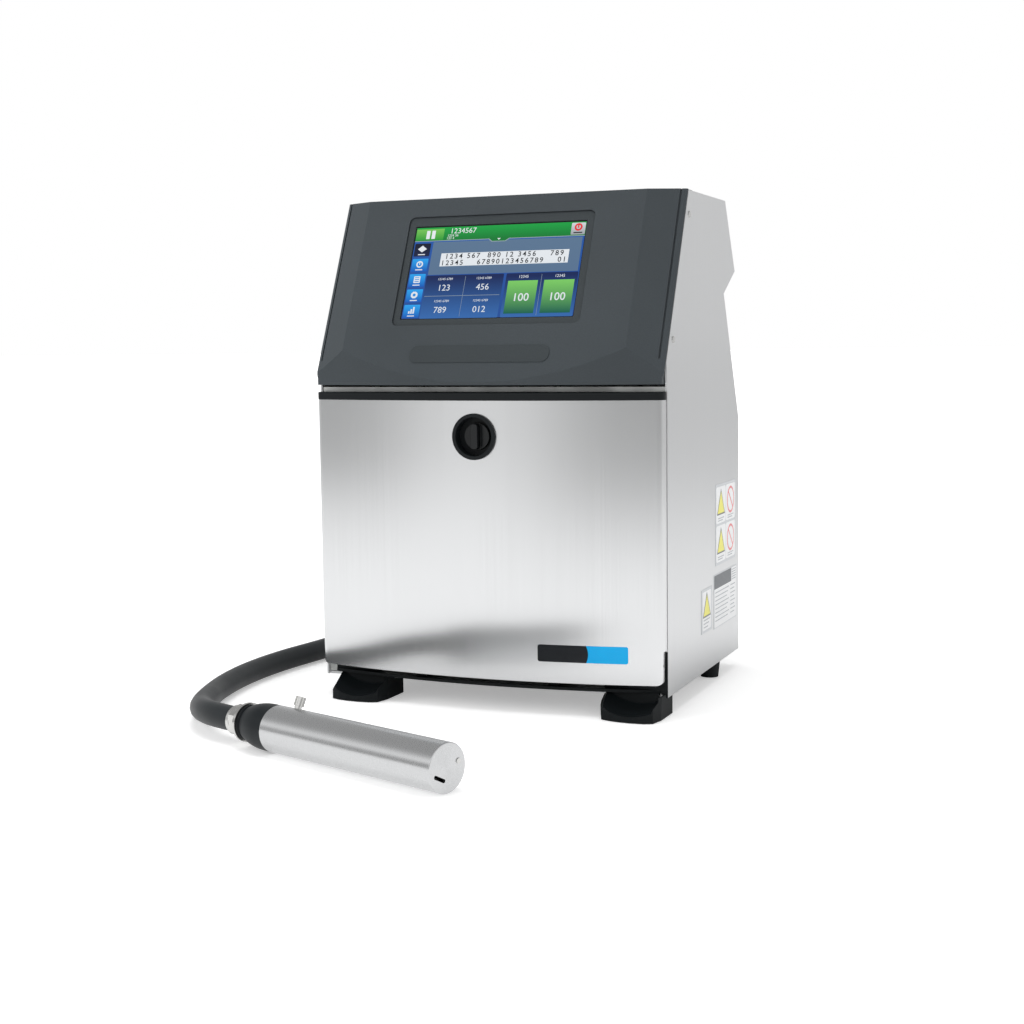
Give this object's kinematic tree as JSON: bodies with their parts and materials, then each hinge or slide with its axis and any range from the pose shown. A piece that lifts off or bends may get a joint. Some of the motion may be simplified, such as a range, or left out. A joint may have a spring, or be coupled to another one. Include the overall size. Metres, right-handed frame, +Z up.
{
  "type": "date code inkjet printer",
  "caption": "Bench-top continuous inkjet date coder: steel cabinet with a sloping touch-screen hood, drop-down service door, side feet, and a cylindrical print head on a flexible hose.",
  "frame": {"origin": "on the floor under the middle of the cabinet's 361 x 260 mm footprint", "axes": "+X to the cabinet's right, -Y towards the front, +Z up"},
  "size_m": [0.4711, 0.9021, 0.494],
  "materials": {
    "steel_panel": "vertical brushed grain, satin",
    "steel_door": "vertical brushed grain, satin",
    "hood_plastic": "fine moulded texture",
    "black_trim": "fine moulded texture",
    "latch_black": "semi gloss",
    "screen": "lit display under flat glass",
    "bezel": "satin",
    "badge": "printed foil, blank",
    "label": "printed film",
    "rubber": "matt",
    "hose_jacket": "fine cross-ribbed jacket",
    "head_steel": "turned and brushed",
    "bright_metal": "nickel plated",
    "light_alloy": "folded sheet",
    "zinc": "zinc plated",
    "collar_plastic": "satin",
    "deck_plastic": "machined plastic",
    "ink_bottle": "moulded polyethylene",
    "makeup_bottle": "moulded polyethylene",
    "core_plastic": "moulded",
    "dock_plastic": "moulded",
    "motor_metal": "painted",
    "filter_plastic": "moulded",
    "brass_parts": "machined",
    "board_green": "solder mask",
    "fan_black": "moulded"
  },
  "bodies": {
    "root": {"side_panel_right": "steel_panel", "side_panel_left": "steel_panel", "rear_panel": "steel_panel", "grip_cover": "steel_panel", "top_cover": "steel_panel", "base_pan": "steel_panel", "mid_shelf": "zinc", "front_frame": "zinc", "base_trim": "black_trim", "front_foot_left": "black_trim", "front_foot_right": "black_trim", "rear_feet": "rubber", "hood": "hood_plastic", "hood_brackets": "hood_plastic", "hood_screws": "bright_metal", "screen_bezel": "bezel", "touch_glass": "screen", "lcd_module": "light_alloy", "nameplate": "bezel", "hinge_brackets": "black_trim", "hinge_pins": "bright_metal", "side_labels": "label", "cartridge_dock": "dock_plastic", "ink_core": "core_plastic", "ink_core_lid": "dock_plastic", "pump": "core_plastic", "pump_motor": "motor_metal", "filters": "filter_plastic", "valve_block": "brass_parts", "damper": "core_plastic", "power_supply": "light_alloy", "main_board": "board_green", "fan_frame": "fan_black", "fan_grille": "bright_metal", "power_entry": "latch_black", "sensor_ports": "bright_metal", "umbilical_gland": "bright_metal", "head_base": "collar_plastic", "gland_nut": "bright_metal", "head_chassis": "zinc", "print_deck": "deck_plastic", "hose": "hose_jacket", "hose_coil": "hose_jacket", "hose_tail": "hose_jacket"},
    "door": {"door_skin": "steel_door", "door_top_trim": "black_trim", "door_liner": "deck_plastic", "door_seal": "rubber", "door_lugs": "zinc", "door_badge": "badge", "latch_cup": "black_trim"},
    "latch": {"latch_knob": "latch_black", "latch_tongue": "zinc"},
    "ink_bottle": {"ink_cartridge": "ink_bottle"},
    "makeup_bottle": {"makeup_cartridge": "makeup_bottle"},
    "fan": {"fan_rotor": "fan_black"},
    "rocker": {"switch_rocker": "latch_black"},
    "head_sleeve": {"head_cover": "head_steel", "front_screw": "bright_metal"},
    "thumb": {"thumb_screw": "bright_metal"}
  },
  "joints": [
    {"name": "door_hinge", "type": "hinge", "parent": "root", "child": "door", "pos_m": [0, -0.153, 0.04], "axis": [1, 0, 0], "range_deg": [0, 80]},
    {"name": "latch_turn", "type": "hinge", "parent": "door", "child": "latch", "pos_m": [0, -0.15, 0.263], "axis": [0, -1, 0], "range_deg": [0, 90]},
    {"name": "ink_cartridge_slide", "type": "slide", "parent": "root", "child": "ink_bottle", "axis": [0, -1, 0], "range_m": [0, 0.018]},
    {"name": "makeup_cartridge_slide", "type": "slide", "parent": "root", "child": "makeup_bottle", "axis": [0, -1, 0], "range_m": [0, 0.018]},
    {"name": "fan_spin", "type": "hinge", "parent": "root", "child": "fan", "pos_m": [0.095, 0.118, 0.205], "axis": [0, 1, 0], "continuous": true},
    {"name": "power_switch", "type": "hinge", "parent": "root", "child": "rocker", "pos_m": [0.082, 0.128, 0.075], "axis": [1, 0, 0], "range_deg": [0, 28]},
    {"name": "head_cover_slide", "type": "slide", "parent": "root", "child": "head_sleeve", "axis": [0.9391, -0.3437, 0], "range_m": [0, 0.2]},
    {"name": "thumb_screw_turn", "type": "hinge", "parent": "head_sleeve", "child": "thumb", "pos_m": [-0.0804, -0.36742, 0.0424], "axis": [0.1452, 0.3969, 0.9063], "continuous": true}
  ]
}
